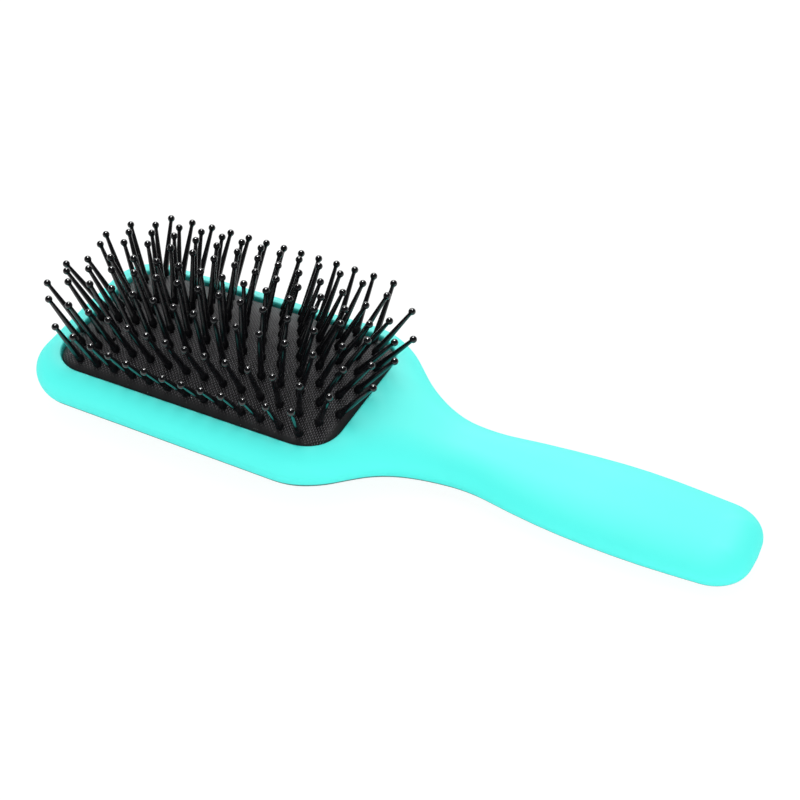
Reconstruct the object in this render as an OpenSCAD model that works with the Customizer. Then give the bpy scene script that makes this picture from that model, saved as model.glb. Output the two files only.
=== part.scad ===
// Small cushion brush for detangling, lying on its back with the pins up.
// X runs from the head to the handle end, Y across, Z up from the surface under the back.
// The origin is on the flat of the back, under the middle of the cushion.

/* [Head outline] */
// Width of the rim at the free end, from the opening to the middle of the end
rim_end = 8.6; // [8:0.1:12]
// How far the middle of the free end bows out past its corners
end_bow = 0.6; // [0.2:0.1:1.5]
// Width of the rim beside the opening, at the free end
rim_side_end = 6.5; // [6.2:0.1:9]
// Width of the rim beside the opening, at the shoulders
rim_side_shoulder = 7.9; // [7.4:0.1:10]
// Corner radius at the free end
end_corner_r = 16.4; // [12:0.2:20]
// Distance from the shoulders to the opening's end by the neck
shoulder_back = 3.8; // [2:0.2:7]
// Radius of the shoulders
shoulder_r = 28.6; // [22:0.2:32]

/* [Handle outline] */
// Length of the neck, from the opening to the waist
neck_run = 25.5; // [23:0.5:32]
// Half width that the waist aims at before it is rounded
waist_half = 8.8; // [8:0.2:12]
// Radius of the waist's hollow
waist_r = 41.6; // [34:0.2:44]
// Length from the waist to the widest part of the grip
grip_run = 51; // [44:0.5:64]
// Half width of the grip at its widest
grip_half = 19.5; // [17:0.5:20.5]
// Radius of the grip's side
grip_r = 218; // [150:1:240]
// Length from the widest part of the grip to the handle end
tail_run = 52.1; // [44:0.1:66]
// Length of the handle end's own slight bow
tail_bow = 0.8; // [0.4:0.1:1.5]
// Half width of the handle at its end corners
tail_half = 16; // [14.5:0.5:17]
// Radius of the handle end's corners
tail_r = 12.9; // [10:0.1:13.5]

/* [Thickness] */
// Height of the rim's crest over the resting surface
rim_top = 18.5; // [17:0.1:21]
// Height of the widest line of the head
head_seam_z = 11.5; // [10:0.1:12.5]
// Height of the edge of the head's softly domed back
back_edge_z = 2.5; // [1:0.1:3.5]
// Thickness of the waist
waist_thick = 14; // [12:0.1:16]
// Thickness of the grip
grip_thick = 12.6; // [11.5:0.1:15]
// Thickness of the handle at its end
tail_thick = 11; // [10:0.1:13]
// Roll of the rim from its crest to the side
rim_roll = 7.1; // [6:0.1:7.5]
// Roll of the back edge
back_roll = 9.1; // [7:0.1:11]
// Wall of both shells
shell_wall = 2.3; // [1.8:0.1:2.6]
// Gap along the seam between the shells
seam_gap = 0.1; // [0.05:0.05:0.3]

/* [Pocket] */
// Half length of the opening in the front shell
pocket_half_l = 51.4; // [50:0.1:52]
// Half width of the opening
pocket_half_w = 29; // [28:0.1:29.5]
// Corner radius of the opening
pocket_r = 12.3; // [10:0.1:14]
// Depth of the lip from the crest to its flat land
lip_depth = 3.3; // [3:0.1:4]
// Width of the lip's land
land_width = 3.2; // [2.8:0.1:3.4]

/* [Cushion] */
// Thickness of the rubber
rubber_t = 1.2; // [1:0.1:1.6]
// Thickness of the cushion's flange
flange_t = 1.4; // [1.2:0.1:1.8]
// How far the flange reaches under the lip
flange_reach = 2.3; // [2:0.1:2.6]
// Gap between the cushion and the lip all round
cushion_gap = 0.35; // [0.3:0.05:0.5]
// Gap between the flange and what holds it
flange_gap = 0.15; // [0.1:0.05:0.3]
// Depth of the cushion's visible edge below the rim's crest
edge_drop = 0.8; // [0.4:0.1:1.6]
// Height of the crown over the cushion's edge
crown = 8.9; // [7:0.1:10]
// Width of the clamping rib under the flange
clamp_w = 1.6; // [1.4:0.1:2]
// Diameter of the air hole in the rubber
vent_d = 1.5; // [1:0.1:2]

/* [Pins] */
// Distance from the opening's end to the last pin of a full row
pin_edge_l = 4.1; // [3:0.1:6]
// Distance from the opening's side to the outer rows
pin_edge_w = 4.4; // [3.6:0.1:6]
// Height from the rubber to the middle of the ball
pin_len = 20.3; // [16:0.1:24]
// Diameter of the ball
ball_d = 2.4; // [2:0.1:2.6]
// Diameter of the shaft under the ball
shaft_top_d = 1.15; // [1:0.05:1.5]
// Diameter of the shaft over the foot
shaft_d = 2; // [1.6:0.05:2.2]
// Diameter of the foot
foot_d = 2.7; // [2.3:0.1:3]
// Height of the foot
foot_h = 1.5; // [1:0.1:2]
// Bevel under the foot, which lets it lean on the rubber
foot_bevel = 0.6; // [0.5:0.1:0.8]
// Height of the cone between the foot and the shaft
foot_cone_h = 1.3; // [0.8:0.1:2]
// Diameter of the neck in the rubber
neck_d = 1.5; // [1.2:0.1:1.7]
// Diameter of the head under the rubber
root_d = 3; // [2.6:0.1:3.2]
// Thickness of the head under the rubber
root_h = 0.8; // [0.6:0.1:1.2]
// Gap between a pin's neck and its hole
pin_gap = 0.2; // [0.1:0.05:0.25]
// Gap between the rubber and the foot over it, and the head under it
foot_gap = 0.3; // [0.25:0.05:0.4]

/* [Shell fixings] */
// Diameter of the weld pegs
peg_d = 4; // [3:0.2:5]
// Gap between a peg and its socket
peg_gap = 0.15; // [0.1:0.05:0.3]
// Wall of a socket
socket_wall = 1.4; // [1.2:0.1:2]
// Thickness of the grip's ribs
rib_t = 1.6; // [1.2:0.1:2]

/* [Hidden] */
// Places along the brush
head_reach = pocket_half_l + rim_end;
shoulder_x = pocket_half_l - shoulder_back;
waist_x = pocket_half_l + neck_run;
grip_x = waist_x + grip_run;
handle_reach = grip_x + tail_run;
head_half_end = pocket_half_w + rim_side_end;
head_half_shoulder = pocket_half_w + rim_side_shoulder;
body_color = "turquoise";
rubber_color = "dimgray";
pin_color = "black";
round_fn = 32;
overrun = 1;
// Steps along the outline: points per rounded corner, and the longest straight piece
arc_steps = 9;
straight_step = 9;
// Steps over the roll of the rim and the back, in degrees
roll_angles = [0, 15, 30, 45, 60, 75, 90];
// The grip's section rolls over this share of its half width
grip_roll_share = 0.83;
// Rings of the domed back between its rolled edge and the flat, as shares of the way in
back_ring_shares = [0.2, 0.4, 0.55];
// Rings of the cushion's crown, as shares of the way in
crown_ring_shares = [0.03, 0.08, 0.16, 0.28, 0.44, 0.64, 0.88];
// Powers of the crown's fall along and across
crown_power_l = 3.2;
crown_power_w = 1.87;
// Pins in each row on either side of the middle, and rows
row_count = 9;
full_half_count = 7;
short_half_count = 6;
pin_pitch = (pocket_half_l - pin_edge_l) / full_half_count;
row_pitch = 2 * (pocket_half_w - pin_edge_w) / (row_count - 1);
// The field of pins sits this share of a pitch towards the handle
field_shift_share = 0.035;
// Lean of the pins as a share of their height, one line for each row from the near side: along the brush
// in the middle, with its even and its cubed rise to the last pin, then across it, with its even and squared rise
row_lean_shares = [
    [0.06, -0.02, 0.24, -0.76, -0.07, 0.42],
    [-0.01, 0.1, 0.42, -0.48, -0.07, 0.28],
    [-0.03, 0.21, 0.61, -0.14, -0.01, 0.17],
    [-0.05, 0.29, 0.63, 0.03, 0.01, 0.02],
    [-0.05, 0.37, 0.5, 0.13, 0.07, -0.08],
    [0.12, 0.34, 0.48, 0.24, -0.03, -0.06],
    [0.09, 0.39, 0.36, 0.39, -0.12, -0.13],
    [0.02, 0.2, 0.55, 0.66, -0.03, -0.19],
    [-0.01, -0.05, 0.23, 0.97, 0.09, -0.38]
];
// The lean is counted from the outermost pins
lean_ref = full_half_count * pin_pitch;
// Shares along the head and grip for pegs, ribs and the air hole
peg_shares = [0.03, 0.36, 0.66, 0.92];
rib_shares = [0.2, 0.5, 0.8];
vent_l_share = -0.66;
vent_w_share = -0.5;

// Small tools for points
function unit(v) = v / norm(v);
function mix(a, b, t) = a + (b - a) * t;
function clamp(v, a, b) = min(max(v, a), b);
function ease(x, a, b) = let (t = clamp((x - a) / (b - a), 0, 1)) t * t * (3 - 2 * t);

// The arc that rounds the corner b of a line a, b, c
function corner(a, b, c, r) =
    let (
        u = unit(a - b),
        w = unit(c - b),
        half = acos(clamp(u * w, -1, 1)) / 2,
        cut = min(r / tan(half), 0.98 * norm(a - b), 0.98 * norm(c - b)),
        r1 = cut * tan(half),
        m = b + unit(u + w) * r1 / sin(half),
        p = b + u * cut,
        q = b + w * cut,
        a0 = atan2(p[1] - m[1], p[0] - m[0]),
        a1 = atan2(q[1] - m[1], q[0] - m[0]),
        turn = (a1 - a0 + 540) % 360 - 180
    )
    [for (i = [0:arc_steps]) m + r1 * [cos(a0 + turn * i / arc_steps), sin(a0 + turn * i / arc_steps)]];

// A rounded open line through corners [x, y, r], with long straights cut into steps
function rounded(v) =
    let (
        n = len(v),
        raw = [
            [v[0][0], v[0][1]],
            for (i = [1:n - 2])
                each corner([v[i - 1][0], v[i - 1][1]], [v[i][0], v[i][1]], [v[i + 1][0], v[i + 1][1]], v[i][2]),
            [v[n - 1][0], v[n - 1][1]]
        ]
    )
    [
        for (i = [0:len(raw) - 2])
            let (d = norm(raw[i + 1] - raw[i]), k = max(1, ceil(d / straight_step)))
            for (j = [0:k - 1]) mix(raw[i], raw[i + 1], j / k),
        raw[len(raw) - 1]
    ];

// Half outline of the whole brush, from the free end to the handle end
half_line = rounded([
    [-head_reach, 0, 0],
    [end_bow - head_reach, head_half_end, end_corner_r],
    [shoulder_x, head_half_shoulder, shoulder_r],
    [waist_x, waist_half, waist_r],
    [grip_x, grip_half, grip_r],
    [handle_reach - tail_bow, tail_half, tail_r],
    [handle_reach, 0, 0]
]);
line_n = len(half_line);

// Inward direction at each point of the half outline
function along(i) = unit(half_line[min(i + 1, line_n - 1)] - half_line[max(i - 1, 0)]);
function inward(i) = i == 0 ? [1, 0] : i == line_n - 1 ? [-1, 0] : [along(i)[1], -along(i)[0]];

// Blend from the head to the handle, and along the handle
blend_start = shoulder_x - (waist_x - shoulder_x) / 4;
blend_end = waist_x + (waist_x - shoulder_x) / 4;
function to_handle(x) = ease(x, blend_start, blend_end);
// The front stays level until it is past the lip's land
level_end = pocket_half_l + land_width;
function to_waist(x) = ease(x, level_end, blend_end);
function to_grip(x) = ease(x, waist_x, grip_x);
function to_tail(x) = ease(x, grip_x, handle_reach);
function top_z(x) = rim_top + (waist_thick - rim_top) * to_waist(x)
    + (grip_thick - waist_thick) * to_grip(x) + (tail_thick - grip_thick) * to_tail(x);
function back_z(x) = back_edge_z * (1 - to_handle(x));
function seam_z(x) = mix(head_seam_z, top_z(x) / 2, to_handle(x));
// Half width used for the roll: the end of the handle keeps the grip's own roll
function roll_half(i) = let (p = half_line[i]) p[0] > grip_x ? max(p[1], tail_r * 0.8) : max(p[1], end_bow);
function roll_w(i, head_roll) =
    let (x = half_line[i][0])
    mix(head_roll, roll_half(i) * grip_roll_share, to_handle(x));

// A point of a half section: a is the roll angle, w the wall taken off, up is 1 for the front
function skin_point(i, a, w, up) =
    let (
        p = half_line[i],
        x = p[0],
        r = roll_w(i, up > 0 ? rim_roll : back_roll),
        d = w + (r - w) * (1 - cos(a)),
        q = p + inward(i) * d,
        zs = seam_z(x) + (up > 0 ? seam_gap / 2 : -seam_gap / 2),
        zt = up > 0 ? top_z(x) - w : back_z(x) + w
    )
    [q[0], max(q[1], i == 0 || i == line_n - 1 ? 0 : seam_gap), mix(zs, zt, sin(a))];

// Points further in over the domed back, towards the middle line
core_start = -head_reach + head_half_end;
core_end = handle_reach - tail_half;
function inner_point(i, t, w) =
    let (
        e = skin_point(i, 90, w, -1),
        c = [clamp(e[0], core_start, core_end), 0],
        q = mix([e[0], e[1]], c, t),
        last = back_ring_shares[len(back_ring_shares) - 1],
        fall = 1 - sin(90 * t / last)
    )
    [q[0], i == 0 || i == line_n - 1 ? 0 : max(q[1], seam_gap / 2), w + (e[2] - w) * fall];

// Rings run round the whole outline: the far half, then the near half mirrored
function ring(pts) = [each pts, for (i = [len(pts) - 2:-1:1]) [pts[i][0], -pts[i][1], pts[i][2]]];
ring_n = 2 * line_n - 2;
function skin_ring(a, w, up) = ring([for (i = [0:line_n - 1]) skin_point(i, a, w, up)]);
function inner_ring(t, w) = ring([for (i = [0:line_n - 1]) inner_point(i, t, w)]);

// Faces between ring k and ring k + 1, and a lid across a ring by its mirrored points
function wall_faces(k, n) = [
    for (i = [0:n - 1])
        let (a = k * n + i, b = k * n + (i + 1) % n, c = a + n, d = b + n)
        each [[a, b, c], [b, d, c]]
];
function lid_faces(k, n) =
    let (h = n / 2)
    [
        for (i = [0:h - 1])
            let (a = k * n + i, b = k * n + i + 1, c = k * n + (n - i) % n, d = k * n + n - i - 1)
            each concat(i == 0 ? [] : [[a, b, c]], i == h - 1 ? [] : [[b, d, c]])
    ];
function turned(f) = [for (t = f) [t[0], t[2], t[1]]];
// A skin made of rings, closed by a lid on its first ring and a lid on its last
module ringed(rings, outward_first) {
    n = len(rings[0]);
    pts = [for (r = rings) each r];
    sides = [for (k = [0:len(rings) - 2]) each wall_faces(k, n)];
    faces = concat(sides, turned(lid_faces(0, n)), lid_faces(len(rings) - 1, n));
    polyhedron(pts, outward_first ? faces : turned(faces), convexity = 10);
}

down_angles = [for (i = [len(roll_angles) - 1:-1:0]) roll_angles[i]];
function front_rings() = concat(
    [for (a = down_angles) skin_ring(a, shell_wall, 1)],
    [for (a = roll_angles) skin_ring(a, 0, 1)]
);
function back_rings() = concat(
    [for (i = [len(back_ring_shares) - 1:-1:0]) inner_ring(back_ring_shares[i], shell_wall)],
    [for (a = down_angles) skin_ring(a, shell_wall, -1)],
    [for (a = roll_angles) skin_ring(a, 0, -1)],
    [for (t = back_ring_shares) inner_ring(t, 0)]
);

// A flat rounded rectangle about the origin, grown by g
module pad_shape(g) {
    r = pocket_r + g;
    x = pocket_half_l - pocket_r;
    y = pocket_half_w - pocket_r;
    square([2 * (x + r), 2 * y], center = true);
    square([2 * x, 2 * (y + r)], center = true);
    for (i = [-1, 1]) for (j = [-1, 1]) translate([i * x, j * y]) circle(r = r, $fn = 4 * round_fn);
}
module pad_ring(g_in, g_out, z0, z1) {
    translate([0, 0, z0]) linear_extrude(height = z1 - z0) difference() {
        pad_shape(g_out);
        pad_shape(g_in);
    }
}

// Heights of the cushion's seat
land_z = rim_top - lip_depth;
flange_top = land_z - flange_gap;
flange_low = flange_top - flange_t;
clamp_top = flange_low - flange_gap;
// The clamping rib grows out of the rolled edge of the back
clamp_foot_z = back_edge_z + shell_wall;
edge_z = rim_top - edge_drop;

// Pegs and ribs stand along the handle, between the waist and the tail
handle_start = waist_x - 2 * peg_d;
handle_end = handle_reach - tail_r;
peg_places = [for (s = peg_shares) mix(handle_start, handle_end, s)];
rib_places = [for (s = rib_shares) mix(handle_start, handle_end, s)];
socket_d = peg_d + 2 * peg_gap + 2 * socket_wall;
function inside_half(x) = let (near = [for (i = [1:line_n - 1]) if (half_line[i - 1][0] <= x && half_line[i][0] > x) i])
    half_line[near[0]][1];

module front_shell() {
    color(body_color) difference() {
        union() {
            ringed(front_rings(), true);
            pad_ring(0, land_width, land_z, rim_top - shell_wall + overrun / 2);
            for (x = peg_places) translate([x, 0, seam_z(x) + seam_gap])
                cylinder(d = socket_d, h = top_z(x) - shell_wall / 2 - seam_z(x) - seam_gap, $fn = round_fn);
        }
        translate([0, 0, seam_z(0)]) linear_extrude(height = rim_top) pad_shape(0);
        for (x = peg_places) translate([x, 0, seam_z(x) - overrun])
            cylinder(d = peg_d + 2 * peg_gap, h = top_z(x) - shell_wall - seam_z(x) + overrun, $fn = round_fn);
    }
}

module back_shell() {
    color(body_color) union() {
        ringed(back_rings(), false);
        pad_ring(land_width - clamp_w - flange_gap, land_width - flange_gap, clamp_foot_z, clamp_top);
        for (x = peg_places) translate([x, 0, shell_wall / 2])
            cylinder(d = peg_d, h = top_z(x) - shell_wall - peg_gap - shell_wall / 2 - overrun, $fn = round_fn);
        for (x = rib_places) {
            h = inside_half(x) * (1 - grip_roll_share) + inside_half(x) * grip_roll_share / 2;
            translate([x - rib_t / 2, -h, shell_wall / 2])
                cube([rib_t, 2 * h, seam_z(x) - shell_wall]);
        }
    }
}

// Height of the crown over the cushion's edge
cush_half_l = pocket_half_l - cushion_gap;
cush_half_w = pocket_half_w - cushion_gap;
function crown_at(x, y) = crown
    * (1 - pow(min(abs(x) / cush_half_l, 1), crown_power_l))
    * (1 - pow(min(abs(y) / cush_half_w, 1), crown_power_w));

// Half outline of the cushion, drawn in by g from the opening
cush_corner_steps = 8;
cush_straight_steps = 7;
function cush_half(g) =
    let (
        r = pocket_r - g,
        x = pocket_half_l - pocket_r,
        y = pocket_half_w - pocket_r
    )
    [
        for (i = [0:2]) [-x - r, y * i / 3],
        for (i = [0:cush_corner_steps]) let (a = 180 - 90 * i / cush_corner_steps) [-x + r * cos(a), y + r * sin(a)],
        for (i = [1:cush_straight_steps - 1]) [mix(-x, x, i / cush_straight_steps), y + r],
        for (i = [0:cush_corner_steps]) let (a = 90 - 90 * i / cush_corner_steps) [x + r * cos(a), y + r * sin(a)],
        for (i = [2:-1:0]) [x + r, y * i / 3]
    ];
function flat_ring(g, z) = ring([for (p = cush_half(g)) [p[0], p[1], z]]);
core_half = pocket_half_l - pocket_half_w;
function crown_ring(g, t, drop) = ring([
    for (p = cush_half(g))
        let (q = mix(p, [clamp(p[0], -core_half, core_half), 0], t))
        [q[0], q[1], edge_z + crown_at(q[0], q[1]) - drop]
]);
function cushion_rings() = concat(
    [for (i = [len(crown_ring_shares) - 1:-1:0]) crown_ring(cushion_gap + rubber_t, crown_ring_shares[i], rubber_t)],
    [flat_ring(cushion_gap + rubber_t, edge_z - rubber_t), flat_ring(cushion_gap + rubber_t, flange_low)],
    [flat_ring(-flange_reach, flange_low), flat_ring(-flange_reach, flange_top)],
    [flat_ring(cushion_gap, flange_top), flat_ring(cushion_gap, edge_z)],
    [for (t = crown_ring_shares) crown_ring(cushion_gap, t, 0)]
);

// Pins: rows are counted from the near side, and every second row is moved by half a pitch
function row_y(r) = (r - (row_count + 1) / 2) * row_pitch;
function row_offset(r) = r % 2 == 0 ? 0.5 : 0;
function row_half(r) =
    let (edge = r == 1 || r == row_count)
    r % 2 == 0 ? short_half_count + 0.5 : edge ? short_half_count : full_half_count;
function row_xs(r) = [for (k = [-row_half(r):1:row_half(r)]) (k + field_shift_share) * pin_pitch];
function lean_at(r, x) =
    let (u = x / lean_ref, s = row_lean_shares[r - 1])
    [s[0] + s[1] * u + s[2] * u * u * u, s[3] + s[4] * u + s[5] * u * u, 1];
module at_pin(r, x) {
    d = unit(lean_at(r, x));
    translate([x, row_y(r), edge_z + crown_at(x, row_y(r))])
        rotate([0, acos(d[2]), atan2(d[1], d[0])])
            children();
}

module pin() {
    body = foot_gap + foot_h;
    cone_top = body + foot_cone_h;
    root_top = -rubber_t - 3 * foot_gap;
    translate([0, 0, root_top - root_h]) cylinder(d = root_d, h = root_h, $fn = round_fn);
    translate([0, 0, root_top - root_h / 2]) cylinder(d = neck_d, h = body - root_top, $fn = round_fn);
    translate([0, 0, foot_gap]) cylinder(d1 = foot_d - 2 * foot_bevel, d2 = foot_d, h = foot_bevel, $fn = round_fn);
    translate([0, 0, foot_gap + foot_bevel]) cylinder(d = foot_d, h = foot_h - foot_bevel, $fn = round_fn);
    translate([0, 0, body]) cylinder(d1 = foot_d, d2 = shaft_d, h = foot_cone_h, $fn = round_fn);
    translate([0, 0, cone_top]) cylinder(d1 = shaft_d, d2 = shaft_top_d, h = pin_len - cone_top, $fn = round_fn);
    translate([0, 0, pin_len]) sphere(d = ball_d, $fn = round_fn);
}

module pin_row(r) {
    for (x = row_xs(r)) at_pin(r, x) pin();
}
module pin_row_1() { color(pin_color) pin_row(1); }
module pin_row_2() { color(pin_color) pin_row(2); }
module pin_row_3() { color(pin_color) pin_row(3); }
module pin_row_4() { color(pin_color) pin_row(4); }
module pin_row_5() { color(pin_color) pin_row(5); }
module pin_row_6() { color(pin_color) pin_row(6); }
module pin_row_7() { color(pin_color) pin_row(7); }
module pin_row_8() { color(pin_color) pin_row(8); }
module pin_row_9() { color(pin_color) pin_row(9); }

module cushion() {
    color(rubber_color) difference() {
        ringed(cushion_rings(), true);
        for (r = [1:row_count]) for (x = row_xs(r)) at_pin(r, x)
            translate([0, 0, -rubber_t - overrun])
                cylinder(d = neck_d + 2 * pin_gap, h = rubber_t + 2 * overrun, $fn = round_fn);
        translate([vent_l_share * pocket_half_l, vent_w_share * pocket_half_w, edge_z - crown])
            cylinder(d = vent_d, h = 3 * crown, $fn = round_fn);
    }
}

front_shell();
back_shell();
cushion();
pin_row_1();
pin_row_2();
pin_row_3();
pin_row_4();
pin_row_5();
pin_row_6();
pin_row_7();
pin_row_8();
pin_row_9();
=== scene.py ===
# %% [markdown]
# # A detangling brush, built as a lesson
# The brush lies on its back on a white table, pins up. It has a soft-touch plastic body in two welded
# shells, a crowned rubber cushion, and rows of glossy ball-tipped pins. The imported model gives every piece
# its place. Each cell below makes one piece, one finish or one part of the studio. Sizes are in millimetres
# until a mesh or a lamp is made, and in metres from there on.

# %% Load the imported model
import math

import bmesh
import bpy
import numpy as np
from mathutils import Matrix, Vector, geometry, kdtree


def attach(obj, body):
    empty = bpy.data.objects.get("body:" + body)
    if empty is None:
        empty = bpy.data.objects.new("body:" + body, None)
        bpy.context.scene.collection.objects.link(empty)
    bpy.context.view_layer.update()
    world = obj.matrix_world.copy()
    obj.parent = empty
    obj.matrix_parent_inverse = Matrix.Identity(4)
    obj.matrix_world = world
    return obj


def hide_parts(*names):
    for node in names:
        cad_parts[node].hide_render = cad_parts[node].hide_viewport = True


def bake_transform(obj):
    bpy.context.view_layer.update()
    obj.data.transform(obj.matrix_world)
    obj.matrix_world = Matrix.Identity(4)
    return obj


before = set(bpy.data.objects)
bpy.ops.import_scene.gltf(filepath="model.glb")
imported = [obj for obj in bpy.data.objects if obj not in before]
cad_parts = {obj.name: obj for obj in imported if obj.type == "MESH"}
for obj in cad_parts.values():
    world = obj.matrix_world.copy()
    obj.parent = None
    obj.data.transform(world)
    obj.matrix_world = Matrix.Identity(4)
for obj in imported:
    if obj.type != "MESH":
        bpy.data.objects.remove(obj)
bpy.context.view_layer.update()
MM = 0.001


# %% [markdown]
# ## The outline
# Seen from above, the brush is one closed line: a rounded square head, a neck that draws in to the waist,
# and a grip that swells and ends in a slow curve. It could be a Bezier curve, but handles are hard to set
# to a real size. A designer draws such a line as corners joined by arcs. The same corners are used here as
# in the solids. Half of the line is enough, because both long sides are alike.

# %% Corners of the half outline: place along the brush, half width, radius
OPENING_L, OPENING_W, OPENING_R = 51.4, 29.0, 12.3
HEAD_END = -(OPENING_L + 8.6)
SHOULDER_X = OPENING_L - 3.8
WAIST_X = OPENING_L + 25.5
GRIP_X = WAIST_X + 51.0
HANDLE_END = GRIP_X + 52.1
TAIL_R = 12.9
CORNERS = [
    (HEAD_END, 0.0, 0.0),
    (HEAD_END + 0.6, OPENING_W + 6.5, 16.4),
    (SHOULDER_X, OPENING_W + 7.9, 28.6),
    (WAIST_X, 8.8, 41.6),
    (GRIP_X, 19.5, 218.0),
    (HANDLE_END - 0.8, 16.0, TAIL_R),
    (HANDLE_END, 0.0, 0.0),
]
print("brush:", round(HANDLE_END - HEAD_END, 1), "mm long, drawn with", len(CORNERS), "corners")

# %% [markdown]
# An arc takes the place of each corner. It touches both sides, so the line runs on without a kink. The
# arc's points are close together and the straight runs have none, so the whole line is then cut into even
# steps. Even steps give faces of one size, and those shade smoothly.

# %% Round the corners, then cut the line into even steps
ARC_STEP, FEWEST_STEPS, LONGEST_CUT = math.radians(2.5), 6, 0.98


def rounded_corner(a, b, c, radius):
    """The arc that rounds the corner b of a line a, b, c. It takes at most the longest cut of either side."""
    u, w = (a - b) / np.linalg.norm(a - b), (c - b) / np.linalg.norm(c - b)
    half = math.acos(max(-1.0, min(1.0, float(u @ w)))) / 2
    side = LONGEST_CUT * min(np.linalg.norm(a - b), np.linalg.norm(c - b))
    cut = min(radius / math.tan(half), side)
    arc_r = cut * math.tan(half)
    middle = b + (u + w) / np.linalg.norm(u + w) * arc_r / math.sin(half)
    p, q = b + u * cut - middle, b + w * cut - middle
    a0, a1 = math.atan2(p[1], p[0]), math.atan2(q[1], q[0])
    turn = (a1 - a0 + 3 * math.pi) % (2 * math.pi) - math.pi
    steps = max(FEWEST_STEPS, math.ceil(abs(turn) / ARC_STEP))
    angles = [a0 + turn * i / steps for i in range(steps + 1)]
    return [middle + arc_r * np.array([math.cos(angle), math.sin(angle)]) for angle in angles]


def even_steps(points, step):
    """The same open line with points about one step apart."""
    points = np.array(points)
    lengths = np.r_[0, np.cumsum(np.linalg.norm(np.diff(points, axis=0), axis=1))]
    marks = np.linspace(0, lengths[-1], math.ceil(lengths[-1] / step) + 1)
    return np.c_[np.interp(marks, lengths, points[:, 0]), np.interp(marks, lengths, points[:, 1])]


def half_outline(step):
    line = [np.array(CORNERS[0][:2])]
    for before, here, after in zip(CORNERS, CORNERS[1:], CORNERS[2:]):
        line += rounded_corner(np.array(before[:2]), np.array(here[:2]), np.array(after[:2]), here[2])
    line.append(np.array(CORNERS[-1][:2]))
    return even_steps(line, step)


print("half outline in steps of 1 mm:", len(half_outline(1.0)), "points")

# %% [markdown]
# The half line is mirrored and joined to itself. Every point also needs to know which way is inwards,
# because all the rings of the body are this line moved in. A Solidify or Inset tool could do that, but not
# with a width that changes along the brush.

# %% Close the outline
OUTLINE_STEP = 1.1


def closed(half):
    """A half line from end to end, with its mirror image on the other side."""
    return np.vstack([half, half[-2:0:-1] * [1, -1]])


def inward(line):
    """Unit directions into the shape at each point of a closed line that runs clockwise."""
    along = np.roll(line, -1, axis=0) - np.roll(line, 1, axis=0)
    along /= np.linalg.norm(along, axis=1)[:, None]
    return np.c_[along[:, 1], -along[:, 0]]


OUTLINE = closed(half_outline(OUTLINE_STEP))
OUTLINE_IN = inward(OUTLINE)
print("outline:", len(OUTLINE), "points, width", round(float(np.ptp(OUTLINE[:, 1])), 1), "mm")

# %% [markdown]
# The height of the body depends on how far in from the edge a point lies. A search tree over a very fine
# copy of the outline answers that quickly for thousands of points.

# %% Distance from a point to the outline
FINE_STEP = 0.1
FINE_OUTLINE = closed(half_outline(FINE_STEP))


def search_tree(line):
    """A tree that finds the point of a line that is nearest to a place."""
    tree = kdtree.KDTree(len(line))
    for i, (x, y) in enumerate(line):
        tree.insert((x, y, 0), i)
    tree.balance()
    return tree


outline_tree = search_tree(FINE_OUTLINE)


def nearest_on_outline(points):
    """Distance to the outline, and the nearest place on it, for points inside."""
    found = [outline_tree.find((x, y, 0)) for x, y in points]
    return np.array([f[2] for f in found]), FINE_OUTLINE[[f[1] for f in found]]


print("middle of the head:", round(float(nearest_on_outline(np.zeros((1, 2)))[0][0]), 1), "mm from the edge")

# %% [markdown]
# ## Heights along the brush
# The rim of the head stands highest. Past the opening the top falls to the thinner handle, and the back
# rises from a soft dome under the head to a plain flat. Sculpting could do it, but never to a real size.
# Here each height is a smooth function of the place along the brush, so head and handle flow into each
# other.

# %% Height of the top, the seam and the back
RIM_TOP, SEAM_HEAD, BACK_EDGE, LAND = 18.5, 11.5, 2.5, 3.2
WAIST_THICK, GRIP_THICK, TAIL_THICK = 14.0, 12.6, 11.0
BLEND_START = SHOULDER_X - (WAIST_X - SHOULDER_X) / 4
BLEND_END = WAIST_X + (WAIST_X - SHOULDER_X) / 4


def ease(x, a, b):
    """0 before a, 1 past b, and a soft S between them."""
    t = np.clip((x - a) / (b - a), 0, 1)
    return t * t * (3 - 2 * t)


def to_handle(x):
    return ease(x, BLEND_START, BLEND_END)


def top_height(x):
    return (RIM_TOP + (WAIST_THICK - RIM_TOP) * ease(x, OPENING_L + LAND, BLEND_END)
            + (GRIP_THICK - WAIST_THICK) * ease(x, WAIST_X, GRIP_X)
            + (TAIL_THICK - GRIP_THICK) * ease(x, GRIP_X, HANDLE_END))


def back_height(x):
    return BACK_EDGE * (1 - to_handle(x))


def seam_height(x):
    return SEAM_HEAD + (top_height(x) / 2 - SEAM_HEAD) * to_handle(x)


stations = (0, WAIST_X, GRIP_X, HANDLE_END)
print("thickness at head, waist, grip and end:", [round(float(top_height(x)), 1) for x in stations])

# %% [markdown]
# ## The rolled edge
# A moulded shell has no sharp edge. Its side rolls over in a quarter ellipse, from the seam up to the rim
# or down to the back. A Bevel has one width all round, but this roll is a narrow bead round the head and
# takes most of the half width on the grip. So its width and height are worked out for each place.

# %% Width and height of the roll
RIM_ROLL, BACK_ROLL, GRIP_ROLL_SHARE = 7.1, 9.1, 0.83
TAIL_HALF, LEAST_HALF, LEAST_ROLL = TAIL_R * 0.8, 0.6, 0.1


def roll_width(points, up):
    """How far in the section rolls over. up is 1 for the front shell and -1 for the back one."""
    head_roll = RIM_ROLL if up > 0 else BACK_ROLL
    half = np.maximum(np.abs(points[:, 1]), np.where(points[:, 0] > GRIP_X, TAIL_HALF, LEAST_HALF))
    return head_roll + (half * GRIP_ROLL_SHARE - head_roll) * to_handle(points[:, 0])


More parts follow.
